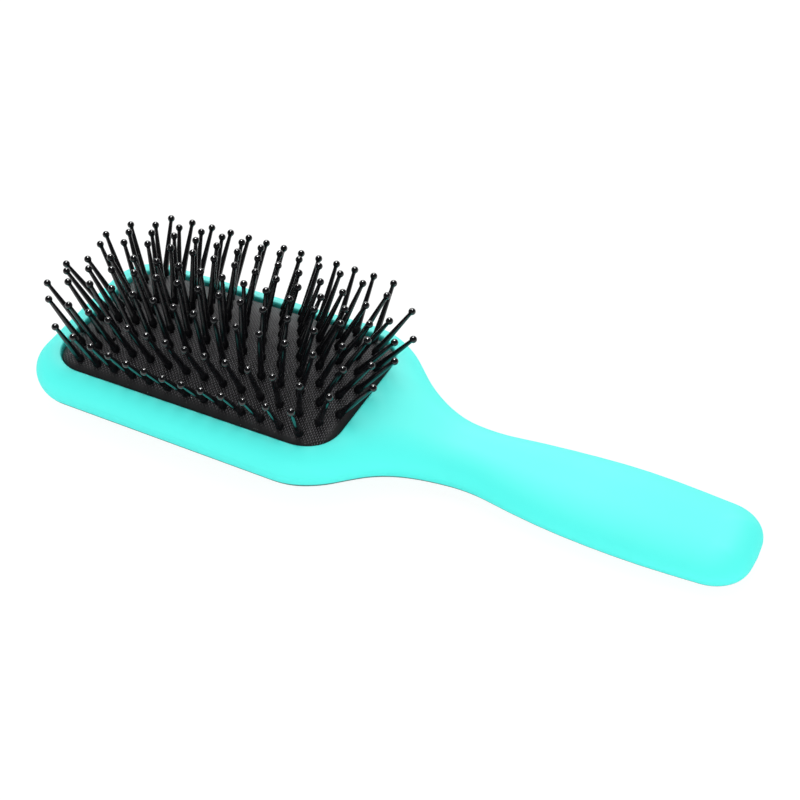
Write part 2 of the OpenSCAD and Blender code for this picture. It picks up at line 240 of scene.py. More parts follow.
def roll_rise(points, distance, foot, wall, up):
    """Height at points a distance inside their foot on the outline, and how far past the roll they are."""
    roll = roll_width(foot, up)
    share = np.clip((distance - wall) / np.maximum(roll - wall, LEAST_ROLL), 0, 1)
    rise = np.sqrt(1 - (1 - share) ** 2)
    end = top_height(points[:, 0]) - wall if up > 0 else back_height(points[:, 0]) + wall
    seam = seam_height(foot[:, 0])
    return seam + (end - seam) * rise, distance - roll


print("widest roll:", round(float(roll_width(OUTLINE, 1).max()), 1), "mm")

# %% [markdown]
# The roll becomes a stack of rings. Each ring is the outline, moved in and up by its angle on the ellipse.
# All rings have the same count of points, so two neighbours join into a clean band of four-sided faces. The
# rings stop at 60 degrees. Past that they would cross each other on the handle, where both sides meet.

# %% Rings of the rolled edge
ROLL_STEP, LAST_RING, TOP_OF_ROLL = 6, 60, 90
RING_ANGLES = [math.radians(a) for a in range(0, LAST_RING + 1, ROLL_STEP)]


def ring_places(angle, wall, up):
    """The outline moved inwards to an angle of the roll, and by how much."""
    inset = wall + (roll_width(OUTLINE, up) - wall) * (1 - math.cos(angle))
    return OUTLINE + OUTLINE_IN * inset[:, None], inset


def roll_ring(angle, wall, up):
    """One ring of the rolled edge, on a surface that lies a wall inside the outer one."""
    flat, inset = ring_places(angle, wall, up)
    return np.c_[flat, roll_rise(flat, inset, OUTLINE, wall, up)[0]]


print("rings:", len(RING_ANGLES), "of", len(OUTLINE), "points")

# %% [markdown]
# ## The almost flat middle
# Inside the last ring the body is nearly flat, with a soft dome under the head. A fan or more rings would
# pinch there and shade badly. A field of scattered points, joined into even triangles, has no pinch, and
# each point takes its height from the same rule as the rings.

# %% Height of the middle, and the points on the last part of the roll
DOME_RUN = 17.0
LOOSE_ANGLES = [math.radians(a) for a in range(LAST_RING + ROLL_STEP, TOP_OF_ROLL + 1, ROLL_STEP)]
LOOSE_GAP, CROSSING_SLACK = 0.5, 0.02


def field_height(points, wall, up):
    """Height of the shell's middle at points inside the last ring."""
    distance, foot = nearest_on_outline(points)
    z, past = roll_rise(points, distance, foot, wall, up)
    if up < 0:
        z = z - back_height(points[:, 0]) * ease(past, 0, DOME_RUN)
    return z


def clear_of(points, loop, gap):
    """The points that lie at least gap from every point of a loop."""
    tree = search_tree(loop)
    return points[[tree.find((x, y, 0))[2] > gap for x, y in points]] if len(points) else points


def roll_points(up):
    """Loose points on the last part of the roll, without those where the two sides cross."""
    found = np.empty((0, 2))
    for angle in LOOSE_ANGLES:
        flat, inset = ring_places(angle, 0, up)
        distance, _ = nearest_on_outline(flat)
        flat = flat[np.abs(distance - inset) < CROSSING_SLACK]
        found = np.vstack([found, clear_of(flat, found, LOOSE_GAP) if len(found) else flat])
    return found


print("loose points on the front shell's roll:", len(roll_points(1)))

# %% [markdown]
# The rest of the field is a staggered grid, cut to the region. Points too near a loop are left out, because
# they would make thin triangles beside it.

# %% Scatter points over a region
LOOSE_CLEARANCE, LOOP_CLEARANCE = 0.8, 0.65 * OUTLINE_STEP
ALMOST_NOTHING = 1e-12


def inside(points, loop):
    """Which points lie inside a closed loop, by counting crossings."""
    found = np.zeros(len(points), bool)
    x, y = points[:, 0], points[:, 1]
    for (x0, y0), (x1, y1) in zip(loop, np.roll(loop, -1, axis=0)):
        crosses = (y0 > y) != (y1 > y)
        if crosses.any():
            found ^= crosses & (x < (x1 - x0) * (y - y0) / (y1 - y0 + ALMOST_NOTHING) + x0)
    return found


def grid_in(outer, spacing):
    """Points in staggered rows over the box of a loop."""
    low, high = outer.min(axis=0), outer.max(axis=0)
    nx, ny = (np.ceil((high - low) / spacing)).astype(int)
    gx, gy = np.meshgrid(np.linspace(low[0], high[0], nx + 1), np.linspace(low[1], high[1], ny + 1))
    gx[1::2] += spacing / 2
    return np.c_[gx.ravel(), gy.ravel()]


def scattered(outer, hole, spacing, loose):
    """The loose points, then a grid in what is left, between an outer loop and a hole."""
    grid = grid_in(outer, spacing)
    if loose is not None:
        grid = np.vstack([loose, clear_of(grid, loose, LOOSE_CLEARANCE * spacing)])
    grid = clear_of(grid[inside(grid, outer)], outer, LOOP_CLEARANCE)
    if hole is not None:
        grid = clear_of(grid[~inside(grid, hole)], hole, LOOP_CLEARANCE)
    return grid


print("points 5 mm apart in the outline:", len(scattered(OUTLINE, None, 5.0, None)))

# %% [markdown]
# Blender can triangulate loops and points in one call. It keeps the loops as edges of the result, so the
# field meets the rings point for point. Triangles that have all corners on the hole would close it, and are
# dropped.

# %% Join the points into triangles
INNER_TRIANGLES, WELD_DISTANCE = 1, 1e-5


def filled(outer, hole, spacing, loose=None):
    """Points and triangles between a closed outer loop and a hole."""
    loops = [outer] + ([hole] if hole is not None else [])
    edges, count = [], 0
    for loop in loops:
        edges += [(count + i, count + (i + 1) % len(loop)) for i in range(len(loop))]
        count += len(loop)
    flat = [Vector(p) for p in np.vstack(loops + [scattered(outer, hole, spacing, loose)])]
    points, _, tris, sources, *_ = geometry.delaunay_2d_cdt(flat, edges, [], INNER_TRIANGLES, WELD_DISTANCE)
    on_hole = [any(len(outer) <= k < count for k in source) for source in sources]
    tris = [tuple(t) for t in tris if not all(on_hole[i] for i in t)]
    return np.array([tuple(p) for p in points]), tris


print("triangles 5 mm wide in the outline:", len(filled(OUTLINE, None, 5.0)[1]))

# %% [markdown]
# ## From points to a mesh
# Bands and fields are made one after the other, and share points only by place. A small collector stacks
# them up, welds what coincides and turns all faces outwards. It also counts open edges: a shell without any
# is a solid wall, which is what the real one is.

# %% A collector that makes one closed mesh
MERGE_DISTANCE, SLIVER = 2e-6, 1e-7


class Skin:
    """Collects points and faces in millimetres, and makes one mesh of them."""

    def __init__(self):
        self.points, self.faces, self.count = [], [], 0

    def add(self, points, faces, flip=False):
        self.points.append(np.asarray(points, float))
        for face in faces:
            self.faces.append(tuple(self.count + i for i in (face[::-1] if flip else face)))
        self.count += len(points)

    def rings(self, rings, flip=False):
        """A band of four-sided faces from each ring to the next."""
        n = len(rings[0])
        starts = [(k * n, i) for k in range(len(rings) - 1) for i in range(n)]
        pairs = [(k + i, k + (i + 1) % n) for k, i in starts]
        self.add(np.vstack(rings), [(a, b, b + n, a + n) for a, b in pairs], flip)

    def mesh(self, name, smooth_angle):
        mesh = bpy.data.meshes.new(name)
        mesh.from_pydata((np.vstack(self.points) * MM).tolist(), [], self.faces)
        bm = bmesh.new()
        bm.from_mesh(mesh)
        bmesh.ops.remove_doubles(bm, verts=bm.verts, dist=MERGE_DISTANCE)
        bmesh.ops.dissolve_degenerate(bm, dist=SLIVER, edges=bm.edges)
        bmesh.ops.recalc_face_normals(bm, faces=bm.faces)
        bm.to_mesh(mesh)
        open_edges = sum(1 for e in bm.edges if not e.is_manifold)
        bm.free()
        mesh.shade_smooth()
        mesh.set_sharp_from_angle(angle=math.radians(smooth_angle))
        piece = bpy.data.objects.new(name, mesh)
        bpy.context.scene.collection.objects.link(piece)
        print(name, "faces:", len(mesh.polygons), "open edges:", open_edges)
        return piece


# %% [markdown]
# ## The opening
# The head has a rounded rectangular opening that holds the cushion. Lip, land, cushion and flange all
# follow it at their own distance. A Boolean cut would leave ragged triangles round it, so one function
# gives the loop at any distance, always with the same count of points, and all parts join in clean bands.

# %% The opening's outline, moved outwards by a distance
def opening_loop(grow):
    """A closed loop round the opening, moved outwards by grow millimetres."""
    r, cx, cy = OPENING_R + grow, OPENING_L - OPENING_R, OPENING_W - OPENING_R
    arc = math.ceil(OPENING_R * math.pi / 2 / OUTLINE_STEP)
    loop = []
    for sx, sy, first, run in ((-1, 1, 180, (2 * cx, 0)), (1, 1, 90, (0, -2 * cy)),
                               (1, -1, 0, (-2 * cx, 0)), (-1, -1, -90, (0, 2 * cy))):
        angles = [math.radians(first - 90 * i / arc) for i in range(arc + 1)]
        corner = [np.array([sx * cx + r * math.cos(a), sy * cy + r * math.sin(a)]) for a in angles]
        steps = math.ceil(sum(map(abs, run)) / OUTLINE_STEP)
        loop += corner[:-1] + [corner[-1] + np.array(run) * i / steps for i in range(steps)]
    return np.array(loop)


def quarter_turn(steps):
    """How far out and how far down a rounded edge of radius 1 is, at even steps of its quarter circle."""
    angles = [math.radians(90 * k / steps) for k in range(steps + 1)]
    return [(1 - math.sin(a), 1 - math.cos(a)) for a in angles]


print("opening:", len(opening_loop(0)), "points,", np.ptp(opening_loop(0), axis=0).round(1), "mm")

# %% [markdown]
# ## The front shell
# One moulding carries the rounded rim, the neck and the front of the handle. It's a real wall: an outer
# surface, an inner one, the seam face between them, and the lip with the land under it that holds the
# cushion. The lip isn't a knife edge. Moulded parts have a small radius there, which shows in the
# photograph as a thin bright line.

# %% Lip, land and the two sides of a shell's wall
WALL, LIP_DEPTH, LIP_FILLET, FILLET_STEPS = 2.3, 3.3, 0.7, 5
FIELD_SPACING, HIDDEN_SHARE = 1.6, 3
SAME_PLACE = 1e-4


def lip_rings():
    """Rings over the lip's fillet, down its wall, out along the land, and up to the inner surface."""
    lip_top = field_height(opening_loop(LIP_FILLET), 0, 1)
    rings = [np.c_[opening_loop(LIP_FILLET * out), lip_top - LIP_FILLET * down]
             for out, down in quarter_turn(FILLET_STEPS)]
    land = opening_loop(LAND)
    land_z = np.full(len(land), RIM_TOP - LIP_DEPTH)
    inner_z = field_height(land, WALL, 1)
    return rings + [np.c_[opening_loop(0), land_z], np.c_[land, land_z], np.c_[land, inner_z]]


def pinned(points, heights, ring):
    """Points that lie on a ring get that ring's own height, so field and ring join without a gap."""
    heights = np.array(heights)
    for p in ring:
        heights[np.abs(points - p[:2]).max(axis=1) < SAME_PLACE] = p[2]
    return heights


def add_surface(skin, rings, wall, up, hole=None, flip=False):
    """One side of a shell's wall: its rolled edge, and the field inside it. The hidden side is coarser."""
    spacing = HIDDEN_SHARE * FIELD_SPACING if wall else FIELD_SPACING
    points, tris = filled(rings[-1][:, :2], hole, spacing, None if wall else roll_points(up))
    skin.rings(rings, flip)
    heights = pinned(points, field_height(points, wall, up), rings[-1])
    skin.add(np.c_[points, heights], tris, flip)


print("land under the lip:", round(RIM_TOP - LIP_DEPTH, 1), "mm high,", LAND, "mm wide")

# %% [markdown]
# Now the parts are stacked: outside, lip, inside, and the seam face that joins the two. Making one half and
# mirroring it would leave a line down the middle, so the shell is built whole. It then stands for its solid.

# %% Build the front shell
SHELL_SMOOTH, INNER_RINGS = 35, 7


def front_shell():
    skin = Skin()
    outer = [roll_ring(a, 0, 1) for a in RING_ANGLES]
    inner = [roll_ring(a, WALL, 1) for a in RING_ANGLES[:INNER_RINGS:2]]
    add_surface(skin, outer, 0, 1, opening_loop(LIP_FILLET))
    skin.rings(lip_rings(), flip=True)
    add_surface(skin, inner, WALL, 1, opening_loop(LAND), flip=True)
    skin.rings([inner[0], outer[0]], flip=True)
    return skin.mesh("front_shell_skin", SHELL_SMOOTH)


front = front_shell()
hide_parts("front_shell")
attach(front, "handle")

# %% [markdown]
# ## The back shell
# The underside is a shallow tray. Its edge rolls in from the seam, then falls in a soft dome to the flat
# that the brush rests on. It has the same kind of wall as the front. The two meet at the seam, where the
# soft-touch coat hides the joint, so a hairline is all that parts them.

# %% Build the back shell
SEAM_HAIRLINE = 0.02


def back_shell():
    skin = Skin()
    outer = [roll_ring(a, 0, -1) for a in RING_ANGLES]
    inner = [roll_ring(a, WALL, -1) for a in RING_ANGLES[::2]]
    for seam in (outer[0], inner[0]):
        seam[:, 2] -= SEAM_HAIRLINE
    add_surface(skin, outer, 0, -1, flip=True)
    add_surface(skin, inner, WALL, -1)
    skin.rings([inner[0], outer[0]])
    return skin.mesh("back_shell_skin", SHELL_SMOOTH)


back = back_shell()
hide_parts("back_shell")
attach(back, "handle")

# %% [markdown]
# ## The crown of the cushion
# The cushion is a sheet of rubber that is moulded with a crown, so it bulges out of the opening and gives
# under the pins. A cloth simulation could blow it up, but its height would be luck. The crown here is a
# product of two falls, slow along the brush and faster across it, as in the solids.

# %% Crown of the cushion
CUSHION_GAP, EDGE_Z, CROWN = 0.35, RIM_TOP - 0.8, 8.9
CROWN_POWERS = (3.2, 1.87)
RUBBER = 1.2


def crown_height(points):
    """Height of the plain crown at points."""
    fall_l = np.minimum(np.abs(points[:, 0]) / (OPENING_L - CUSHION_GAP), 1) ** CROWN_POWERS[0]
    fall_w = np.minimum(np.abs(points[:, 1]) / (OPENING_W - CUSHION_GAP), 1) ** CROWN_POWERS[1]
    return EDGE_Z + CROWN * (1 - fall_l) * (1 - fall_w)


print("top of the crown:", round(float(crown_height(np.zeros((1, 2)))[0]), 1), "mm")

# %% [markdown]
# ## Where the pins stand
# The pins stand in nine lengthwise rows. Each row is set half a pitch off from the last, so that hair meets
# a pin wherever it runs. Array modifiers could copy one pin along a row, but the pins fan out, so every pin
# gets its own foot and axis. The feet follow from the pitch, by a short rule.

# %% Rows and places in a row
ROWS, FULL_REACH, SHORT_REACH, HALF_PITCH = 9, 7, 6, 0.5
PITCH = (OPENING_L - 4.1) / FULL_REACH
ROW_PITCH = 2 * (OPENING_W - 4.4) / (ROWS - 1)
FIELD_SHIFT, COUNT_SLACK = 0.035, 0.1


def row_places(row):
    """Places along the brush of the pins in one row, from the outer end of the head on."""
    reach = SHORT_REACH + HALF_PITCH if row % 2 == 0 else SHORT_REACH if row in (1, ROWS) else FULL_REACH
    return [(k + FIELD_SHIFT) * PITCH for k in np.arange(-reach, reach + COUNT_SLACK)]


def row_y(row):
    return (row - (ROWS + 1) / 2) * ROW_PITCH


print("pins in each row:", [len(row_places(row)) for row in range(1, ROWS + 1)])
print("pitch:", round(PITCH, 2), "mm along and", round(ROW_PITCH, 2), "mm across")

# %% [markdown]
# Which way a pin points is already known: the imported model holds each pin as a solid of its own. Typing the
# angles in again would be a long list to keep in step with the model. So they are read from it. The points
# of a row are welded, and walked from neighbour to neighbour along the edges, until all points of one pin
# are found.

# %% Find the single pins in a packed row
def pins_in(node):
    """The points of each pin of a packed row, in millimetres, in order along the brush."""
    bm = bmesh.new()
    bm.from_mesh(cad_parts[node].data)
    bmesh.ops.remove_doubles(bm, verts=bm.verts, dist=MERGE_DISTANCE)
    bm.verts.index_update()
    seen, pins = set(), []
    for start in bm.verts:
        if start.index in seen:
            continue
        seen.add(start.index)
        reached = [start]
        for vert in reached:
            for other in [edge.other_vert(vert) for edge in vert.link_edges]:
                if other.index not in seen:
                    seen.add(other.index)
                    reached.append(other)
        pins.append(np.array([tuple(vert.co) for vert in reached]) / MM)
    bm.free()
    return sorted(pins, key=lambda points: points[:, 0].mean())


print("pins found in the first row:", len(pins_in("pin_row_1")))

# %% [markdown]
# The outer half of the ball lies evenly round the pin's axis. So the middle of those points and the foot
# give the direction, whatever way the pin leans.

# %% Foot and direction of every pin
PIN_LENGTH, BALL_R = 20.3, 1.2


def pin_axis(row, x, points):
    """Foot of a pin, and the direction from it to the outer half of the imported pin's ball."""
    foot = Vector((x, row_y(row), float(crown_height(np.array([[x, row_y(row)]]))[0])))
    ball = points[np.linalg.norm(points - foot, axis=1) > PIN_LENGTH]
    return foot, (Vector(ball.mean(axis=0)) - foot).normalized()


PINS = {row: [pin_axis(row, x, points) for x, points in zip(row_places(row), pins_in(f"pin_row_{row}"))]
        for row in range(1, ROWS + 1)}
leans = [math.degrees(axis.angle(Vector((0, 0, 1)))) for pins in PINS.values() for _, axis in pins]
print("pins:", len(leans), "leaning from", round(min(leans)), "to", round(max(leans)), "degrees")

# %% [markdown]
# ## The top and the underside of the rubber
# Each pin pulls a shallow dimple into the rubber. Sculpting over a hundred of them is slow work, so a bell
# curve round every foot lowers the crown. Near one corner a small hole lets the air out when the cushion
# gives. It goes right through the sheet, so it's a loop that both surfaces leave free.

# %% Dimples and the air hole
DIMPLE_DEPTH, DIMPLE_R, DIMPLE_ROOM, BATCH = 0.22, 2.1, 0.25, 1024
AIR_HOLE, AIR_HOLE_R, AIR_HOLE_SIDES = (-33.92, -14.5), 0.75, 20
hole_angles = [2 * math.pi * i / AIR_HOLE_SIDES for i in range(AIR_HOLE_SIDES)]
air_hole = np.array([(AIR_HOLE[0] + AIR_HOLE_R * math.cos(a), AIR_HOLE[1] + AIR_HOLE_R * math.sin(a))
                     for a in hole_angles])
pin_feet = np.array([foot[:2] for pins in PINS.values() for foot, _ in pins])


def cushion_top(points):
    """Height of the rubber with a dimple round every pin, worked out in batches to save memory."""
    z = crown_height(points)
    for k in range(0, len(points), BATCH):
        gap = np.linalg.norm(points[k:k + BATCH, None] - pin_feet[None], axis=2)
        z[k:k + BATCH] -= (DIMPLE_DEPTH * np.exp(-(gap / DIMPLE_R) ** 2)).sum(axis=1)
    return z


def cushion_under(points):
    """Height of the underside, which has no dimples and stays clear of those of the top."""
    return crown_height(points) - RUBBER - DIMPLE_ROOM


print("air hole:", 2 * AIR_HOLE_R, "mm wide, top at", round(float(cushion_top(air_hole).mean()), 1), "mm")

# %% [markdown]
# ## The cushion
# The rubber dips beside the lip, goes down through a thin gap and spreads into a flange, which the shells
# clamp. That is why no edge of it is ever seen. A plane with thickness would show one, so the whole sheet
# is built, with its dip, flange and underside. When the cushion is pressed, the edge stays clamped while
# the middle sinks.

# %% Build the cushion
EDGE_ROLL, EDGE_DROP, EDGE_STEPS = 3.6, 1.3, 8
FLANGE, FLANGE_REACH, FLANGE_GAP = 1.4, 2.3, 0.15
FLANGE_TOP = RIM_TOP - LIP_DEPTH - FLANGE_GAP
CUSHION_SPACING, CUSHION_SMOOTH = 1.0, 50


def edge_rings():
    """Rings of the dip beside the lip, then round the flange."""
    rings = []
    for out, down in quarter_turn(EDGE_STEPS):
        flat = opening_loop(-CUSHION_GAP - EDGE_ROLL * out)
        rings.append(np.c_[flat, cushion_top(flat) - EDGE_DROP * down])
    for grow, z in ((-CUSHION_GAP, FLANGE_TOP), (FLANGE_REACH, FLANGE_TOP),
                    (FLANGE_REACH, FLANGE_TOP - FLANGE), (-CUSHION_GAP - RUBBER, FLANGE_TOP - FLANGE)):
        rings.append(np.c_[opening_loop(grow), np.full(len(rings[0]), z)])
    return rings


def cushion():
    skin = Skin()
    top, top_tris = filled(opening_loop(-CUSHION_GAP - EDGE_ROLL), air_hole, CUSHION_SPACING)
    under_rim = opening_loop(-CUSHION_GAP - RUBBER)
    under, under_tris = filled(under_rim, air_hole, HIDDEN_SHARE * CUSHION_SPACING)
    skin.add(np.c_[top, cushion_top(top)], top_tris)
    skin.rings(edge_rings() + [np.c_[under_rim, cushion_under(under_rim)]], flip=True)
    skin.add(np.c_[under, cushion_under(under)], under_tris, flip=True)
    skin.rings([np.c_[air_hole, z] for z in (cushion_top(air_hole), cushion_under(air_hole))])
    return skin.mesh("cushion_rubber", CUSHION_SMOOTH)


pad = cushion()
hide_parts("cushion")
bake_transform(pad)

# %% [markdown]
# ## The profile of a pin
# Each pin is one moulding: a ball that glides over the scalp, a shaft that thickens downwards, a foot that
# spreads on the rubber, a neck through it and a flat head under it. It could be a sphere, a cone and a
# cylinder pushed into each other, but a half profile that is spun round gives all of it at once, with a
# smooth throat.

# %% Half profile of a pin, as height along its axis and radius
BALL_STEPS, THROAT_TURN = 12, 6
SHAFT_TOP_R, SHAFT_R, SHAFT_STEPS, SHAFT_START, THROAT_GAP = 0.63, 1.08, 6, 3.4, 0.35
FOOT_R, FOOT_BEVEL, FOOT_H, FOOT_TAPER, CONE_H, FOOT_STEPS = 1.42, 0.6, 1.3, 0.02, 1.7, 4
NECK_R, HEAD_R, HEAD_H, FOOT_GAP = 0.75, 1.5, 0.8, 0.3


def head_and_neck():
    head_top = -RUBBER - 3 * FOOT_GAP
    return [(head_top - HEAD_H, 0.0), (head_top - HEAD_H, HEAD_R), (head_top, HEAD_R), (head_top, NECK_R),
            (FOOT_GAP, NECK_R)]


def foot_and_cone():
    bevel = [(FOOT_GAP + FOOT_BEVEL * down, FOOT_R - FOOT_BEVEL * out)
             for out, down in quarter_turn(FOOT_STEPS)]
    cone = [(FOOT_GAP + FOOT_H + CONE_H * t, FOOT_R + (SHAFT_R - FOOT_R) * float(ease(t, 0, 1)))
            for t in (k / FOOT_STEPS for k in range(1, FOOT_STEPS + 1))]
    return bevel + [(FOOT_GAP + FOOT_H, FOOT_R - FOOT_TAPER)] + cone


def shaft_and_ball():
    throat = math.asin(SHAFT_TOP_R / BALL_R)
    rise = PIN_LENGTH - BALL_R * math.cos(throat) - THROAT_GAP - SHAFT_START
    shaft = [(SHAFT_START + rise * t, SHAFT_R + (SHAFT_TOP_R - SHAFT_R) * t)
             for t in (k / SHAFT_STEPS for k in range(1, SHAFT_STEPS + 1))]
    first = throat + math.radians(THROAT_TURN)
    angles = [first + (math.pi - first) * k / BALL_STEPS for k in range(BALL_STEPS)]
    ball = [(PIN_LENGTH - BALL_R * math.cos(a), BALL_R * math.sin(a)) for a in angles]
    return shaft + ball + [(PIN_LENGTH + BALL_R, 0.0)]


PROFILE = head_and_neck() + foot_and_cone() + shaft_and_ball()
print("profile:", len(PROFILE), "points,", round(PROFILE[-1][0] - PROFILE[0][0], 1), "mm from head to tip")

# %% [markdown]
# ## The pins
# The Spin tool or a Screw modifier could turn the profile, one pin at a time. Here each point of it becomes
# a ring round the pin's own axis, and the first and last points close the ends. All pins of a row are one
# mesh, because a row tilts as one body when hair is drawn across the brush.

# %% Build the pins, one piece for each row
PIN_SIDES, PIN_SMOOTH = 20, 50
pin_angles = [2 * math.pi * i / PIN_SIDES for i in range(PIN_SIDES)]


def add_pin(skin, foot, axis):
    turn = axis.to_track_quat("Z", "Y").to_matrix()
    rings = []
    for height, radius in PROFILE[1:-1]:
        ring = [foot + turn @ Vector((radius * math.cos(a), radius * math.sin(a), height))
                for a in pin_angles]
        rings.append(np.array([tuple(p) for p in ring]))
    skin.rings(rings)
    fan = [(i, (i + 1) % PIN_SIDES, PIN_SIDES) for i in range(PIN_SIDES)]
    for ring, (height, _) in ((rings[0], PROFILE[0]), (rings[-1], PROFILE[-1])):
        tip = foot + turn @ Vector((0, 0, height))
        skin.add(np.vstack([ring, [tuple(tip)]]), fan)


def pin_row(row):
    skin = Skin()
    for foot, axis in PINS[row]:
        add_pin(skin, foot, axis)
    return skin.mesh(f"pins_in_row_{row}", PIN_SMOOTH)


pin_rows = []
for row in PINS:
    piece = pin_row(row)
    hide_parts(f"pin_row_{row}")
    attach(piece, f"pins_{row}")
    pin_rows.append(piece)

# %% [markdown]
# ## Short ways to write nodes
# A finish is a graph of nodes. Written out in full, each node takes many lines to make, set and join. One
# small class does that in a line for each node. Its patterns work in the frame's own coordinates, in
# millimetres, so they keep their real size on every piece. Image textures would need unwrapping and would
# blur in a close view.

# %% A graph of nodes, and the graph of a new material
class Graph:
    """The nodes of a material or of the world, with short ways to add and join them."""

    def __init__(self, owner):
        owner.use_nodes = True
        self.nodes, self.links = owner.node_tree.nodes, owner.node_tree.links

    def give(self, socket, value):
        """Join another socket to this one, or set it to a number or a colour."""
        if isinstance(value, bpy.types.NodeSocket):
            self.links.new(value, socket)
        else:
            socket.default_value = value

    def node(self, kind, inputs, **settings):
        """A new node. inputs gives a value to its sockets by name or by number."""
        made = self.nodes.new("ShaderNode" + kind)
        for name, value in settings.items():
            setattr(made, name, value)
        for name, value in inputs.items():
            self.give(made.inputs[name], value)
        return made

    def worked_out(self, operation, *values):
        return self.node("Math", dict(enumerate(values)), operation=operation).outputs[0]

    def mixed(self, share, a, b):
        """Colour a where the share is 0, and b where it is 1."""
        return self.node("Mix", {"Factor": share, "A": a, "B": b}, data_type="RGBA").outputs["Result"]

    def ranged(self, value, low, high, start=0.0, end=1.0, curve="LINEAR"):
        """The value moved from low and high to start and end, and held between them."""
        inputs = {"Value": value, "From Min": low, "From Max": high, "To Min": start, "To Max": end}
        return self.node("MapRange", inputs, interpolation_type=curve).outputs["Result"]

    def noise(self, where, scale, detail, roughness=0.5, output="Fac"):
        inputs = {"Vector": where, "Scale": scale, "Detail": detail, "Roughness": roughness}
        return self.node("TexNoise", inputs).outputs[output]

    def where(self):
        """The place in the frame, in millimetres."""
        place = self.node("TexCoord", {}).outputs["Object"]
        return self.node("VectorMath", {0: place, "Scale": 1 / MM}, operation="SCALE").outputs[0]


def new_material(name):
    material = bpy.data.materials.new(name)
    graph = Graph(material)
    print("finish:", name)
    return material, graph, graph.nodes["Principled BSDF"].inputs


# %% [markdown]
# ## The coat of the body
# The shells have a soft-touch coat: matte, saturated, with a broad weak sheen and a very fine grain that a
# bump gives. Low down on the side, on the slopes that face down towards the table, a thin band of painted
# shade runs round the brush. It could be a strip of faces with its own material, but it's soft-edged. Here
# the slope of the surface picks it out: only a narrow range of downward slopes is painted dark.

# %% Soft-touch coat with its band of painted shade on the underside
BODY_COLOUR = (0.064, 0.97, 0.88)
# Colour of the band of painted shade low on the side
UNDERSIDE_SHADE_COLOUR = (0.03, 0.15, 0.135, 1.0)
SHADE_SHIFT = 0.03
# Downward slopes where the band of painted shade fades in and out
SHADE_BAND_BELOW, SHADE_BAND_ABOVE = (-0.45, -0.52), (-0.8, -0.76)
BODY_ROUGHNESS, BODY_SHEEN = 0.62, 1.0


def shifted(colour, share):
    """A colour made lighter or darker by a share, as four numbers."""
    return [min(1.0, c * (1 + share)) for c in colour] + [1.0]


def soft_touch():
    material, graph, coat = new_material("soft_touch_turquoise")
    where = graph.where()
    shade = graph.noise(where, scale=0.035, detail=2.0)
    colour = graph.mixed(shade, shifted(BODY_COLOUR, -SHADE_SHIFT), shifted(BODY_COLOUR, SHADE_SHIFT))
    normal = graph.node("TexCoord", {}).outputs["Normal"]
    slope = graph.node("SeparateXYZ", {0: normal}).outputs["Z"]
    below = graph.ranged(slope, *SHADE_BAND_BELOW, curve="SMOOTHSTEP")
    above = graph.ranged(slope, *SHADE_BAND_ABOVE, curve="SMOOTHSTEP")
    # line is the band of painted shade on the downward slopes
    line = graph.worked_out("MULTIPLY", below, above)
    grain = graph.noise(where, scale=4.0, detail=3.0, roughness=0.6)
    bump = graph.node("Bump", {"Strength": 0.12, "Distance": 0.03 * MM, "Height": grain})
    graph.give(coat["Base Color"], graph.mixed(line, colour, UNDERSIDE_SHADE_COLOUR))
    graph.give(coat["Roughness"], BODY_ROUGHNESS)
    graph.give(coat["Specular IOR Level"], BODY_SHEEN)
    graph.give(coat["Normal"], bump.outputs["Normal"])
    return material


body_finish = soft_touch()
for shell in (front, back):
    shell.data.materials.append(body_finish)

# %% [markdown]
# ## The weave in the rubber
# The rubber has a woven pattern pressed into it, as if cloth had lain in the mould. Real threads would be a
# million faces. Waves that cross each other give the same look: two along the threads and two along the
# rows of their crossings. Noise bends them a little, because no cloth lies quite straight.

# %% Waves that add up to a weave
THREAD_PITCH = 0.63
DIAGONAL = THREAD_PITCH * math.sqrt(2)
# Direction in degrees, period in millimetres and strength of each wave
WEAVE_WAVES = ((45, DIAGONAL, 0.75), (-45, DIAGONAL, 0.45), (0, THREAD_PITCH, 1.0), (90, THREAD_PITCH, 0.4))
WOBBLE_SIZE, WOBBLE_SHARE = 0.25, 0.5


def weave_pattern(graph, where):
    """High on the threads and low in the pits between them."""
    wobble = graph.noise(where, WOBBLE_SIZE, detail=2.0, output="Color")
    bent = graph.node("MixRGB", {0: WOBBLE_SHARE, 1: where, 2: wobble}, blend_type="ADD").outputs[0]
    weave = 0.0
    for angle, period, strength in WEAVE_WAVES:
        turn, a = 2 * math.pi / period, math.radians(angle)
        direction = (turn * math.cos(a), turn * math.sin(a), 0)
        along = graph.node("VectorMath", {0: bent, 1: direction}, operation="DOT_PRODUCT").outputs["Value"]
        weave = graph.worked_out("MULTIPLY_ADD", graph.worked_out("SINE", along), strength, weave)
    return weave


print("weave:", len(WEAVE_WAVES), "waves, threads", THREAD_PITCH, "mm apart")

# %% [markdown]
# The weave ends before the edge of the cushion, where the rubber dips smooth beside the lip and takes a plain
# dark tone of painted shade. The distance to the nearest side of the opening tells how much of the weave
# there is. It fades both the tone and the bump.

# %% The smooth border of the cushion
BORDER = (1.5, 4.8)


def woven_share(graph, where):
    """0 on the smooth border of the cushion and 1 on its woven field."""
    place = graph.node("SeparateXYZ", {0: where}).outputs
    from_end = graph.worked_out("SUBTRACT", OPENING_L, graph.worked_out("ABSOLUTE", place["X"]))
    from_side = graph.worked_out("SUBTRACT", OPENING_W, graph.worked_out("ABSOLUTE", place["Y"]))
    return graph.ranged(graph.worked_out("MINIMUM", from_end, from_side), *BORDER, curve="SMOOTHSTEP")


print("woven field starts", BORDER[0], "mm from the lip and is full at", BORDER[1], "mm")
